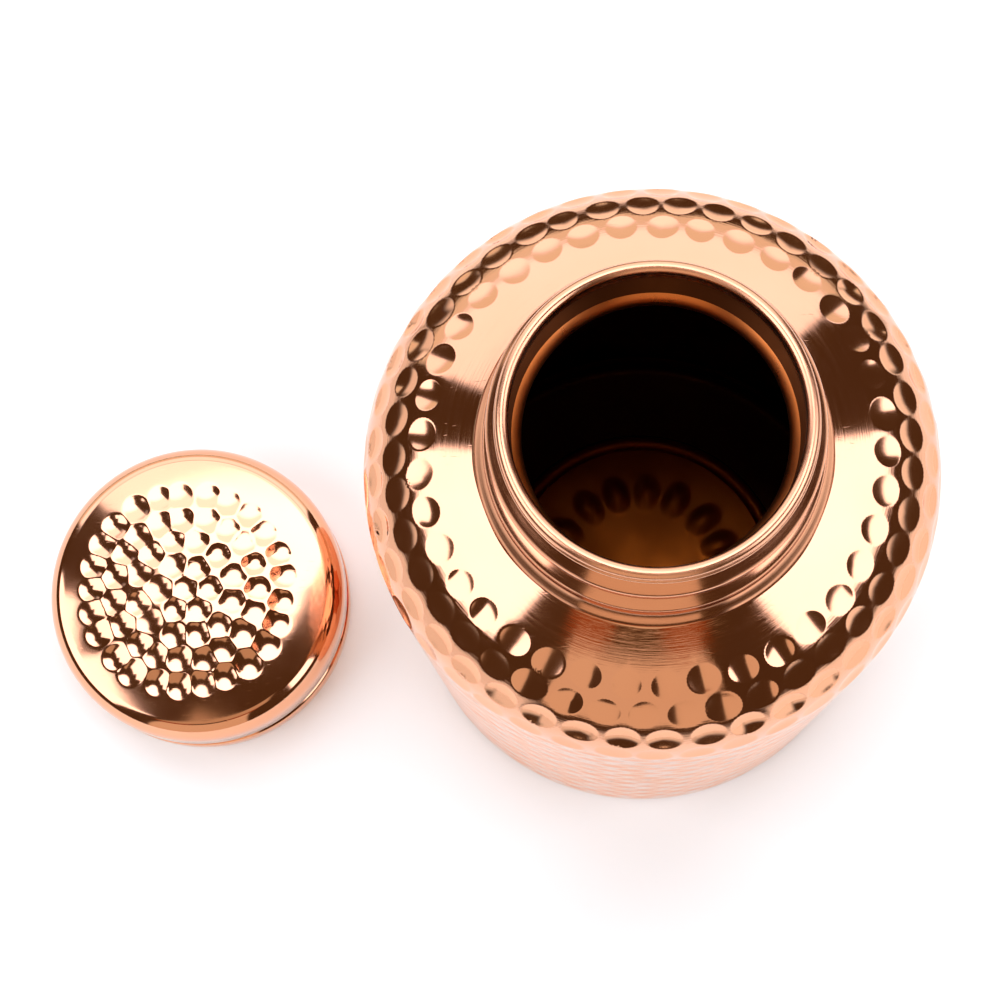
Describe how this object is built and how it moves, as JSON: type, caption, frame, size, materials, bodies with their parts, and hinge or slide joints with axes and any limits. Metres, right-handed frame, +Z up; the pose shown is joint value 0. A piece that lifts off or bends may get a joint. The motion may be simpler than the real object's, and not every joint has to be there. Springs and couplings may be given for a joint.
{
  "type": "copper water bottle",
  "caption": "Wide-mouthed hammered copper water bottle with a ridged neck and a push-on hammered cap that stands beside it.",
  "frame": {"origin": "centre of the bottle's base, on the surface it stands on", "axes": "+Z up along the bottle's axis, -X towards the cap that stands beside the bottle, -Y towards the viewer"},
  "size_m": [0.203, 0.115, 0.21],
  "materials": {
    "hammered_copper": "hand-hammered copper, polished in the punch marks and satin on the shoulder",
    "pressed_copper": "plain pressed copper sheet",
    "satin_copper": "spun copper with fine turning lines",
    "polished_copper": "polished copper",
    "cap_copper": "mirror-polished hammered copper",
    "braze": "brazing alloy, cleaned",
    "silicone": "translucent food-grade silicone, matt"
  },
  "bodies": {
    "bottle": {"body_shell": "hammered_copper", "base_plate": "pressed_copper", "base_joint": "braze", "neck_tube": "satin_copper", "neck_joint": "braze", "lip_ring": "polished_copper"},
    "gasket": {"cap_gasket": "silicone"},
    "cap": {"cap_shell": "cap_copper"}
  },
  "joints": [
    {"name": "cap_lift", "type": "slide", "parent": "bottle", "child": "gasket", "axis": [0, 0, 1], "range_m": [0, 0.22]},
    {"name": "cap_turn", "type": "hinge", "parent": "gasket", "child": "cap", "pos_m": [-0.1092, -0.0064, 0], "axis": [0, 0, 1], "continuous": true}
  ]
}
